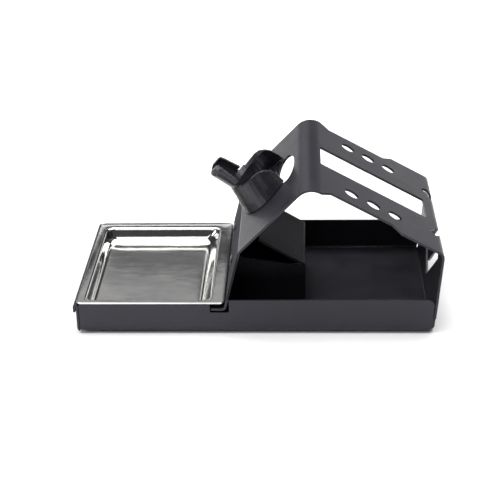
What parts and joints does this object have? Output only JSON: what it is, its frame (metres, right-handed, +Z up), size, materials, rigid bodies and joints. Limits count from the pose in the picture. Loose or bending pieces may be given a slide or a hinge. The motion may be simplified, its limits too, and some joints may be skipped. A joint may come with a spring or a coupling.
{
  "type": "soldering iron stand",
  "caption": "Folded black steel bench stand for a soldering iron: open base, sloping arch with moulded holder, tip guard, tip storage holes and a lift-out metal tray",
  "frame": {"origin": "middle of the footprint on the bench surface, under the rubber feet", "axes": "+X runs from the tray to the arch along the base, +Y runs from the front wall to the back wall, +Z is up"},
  "size_m": [0.1616, 0.085, 0.0687],
  "materials": {
    "coated_steel": "satin black powder coat on folded sheet steel",
    "rivet_steel": "blackened rivet heads",
    "moulded_plastic": "fine matt black moulding",
    "pressed_stainless": "bright rolled stainless, polished rim and satin pressed floor",
    "foot_rubber": "soft matt black rubber"
  },
  "bodies": {
    "stand": {"stand_body": "coated_steel", "tip_guard": "coated_steel", "guard_rivet_front": "rivet_steel", "guard_rivet_back": "rivet_steel", "iron_holder": "moulded_plastic", "foot_front_left": "foot_rubber", "foot_front_right": "foot_rubber", "foot_back_left": "foot_rubber", "foot_back_right": "foot_rubber"},
    "tray": {"solder_tray": "pressed_stainless"}
  },
  "joints": [
    {"name": "tray_lift", "type": "slide", "parent": "stand", "child": "tray", "axis": [0, 0, 1], "range_m": [0, 0.025]}
  ]
}
